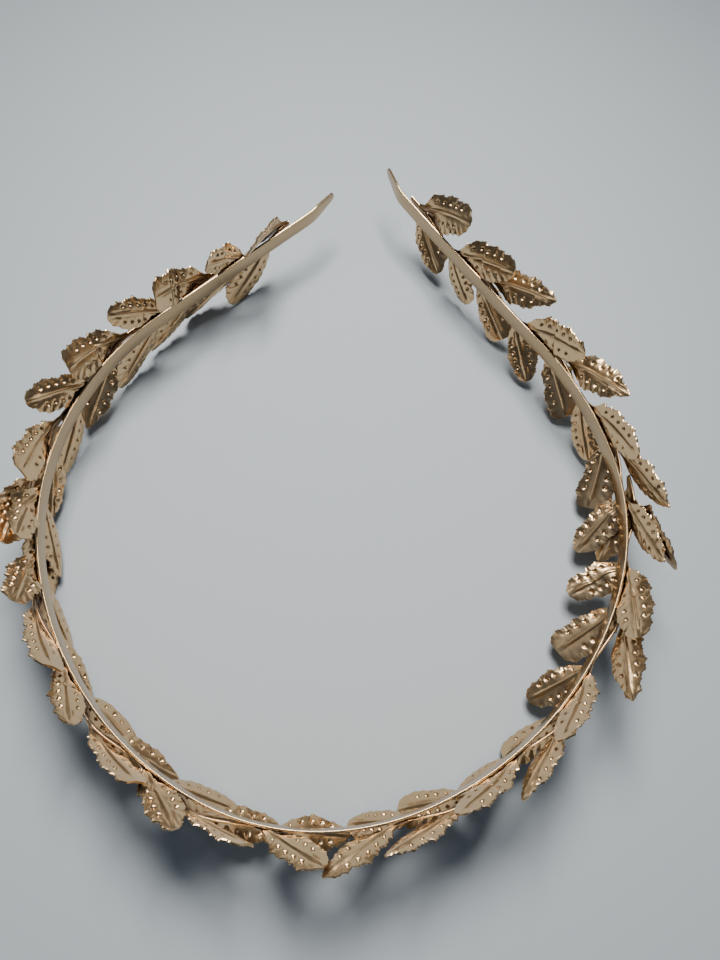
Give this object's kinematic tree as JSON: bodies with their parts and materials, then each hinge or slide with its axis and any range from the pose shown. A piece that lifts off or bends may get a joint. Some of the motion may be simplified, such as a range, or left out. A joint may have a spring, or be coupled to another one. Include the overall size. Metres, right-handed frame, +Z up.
{
  "type": "laurel wreath crown",
  "caption": "Open headband crown of gold-coloured metal with sprays of toothed laurel leaves standing above and below the band.",
  "frame": {"origin": "middle of the underside of the crown's box, on the plane it rests on", "axes": "+Z up, away from the surface it lies on; -Y to the front of the head, +Y to the open back; +X to the right in the picture"},
  "size_m": [0.1522, 0.1792, 0.0279],
  "materials": {
    "polished_strip": "polished strip, gold colour",
    "satin_leaf": "satin stamped sheet, gold colour"
  },
  "bodies": {
    "root": {"band": "polished_strip", "spray_right_back": "satin_leaf", "spray_right_front": "satin_leaf", "spray_left_back": "satin_leaf", "spray_left_front": "satin_leaf"}
  },
  "joints": []
}
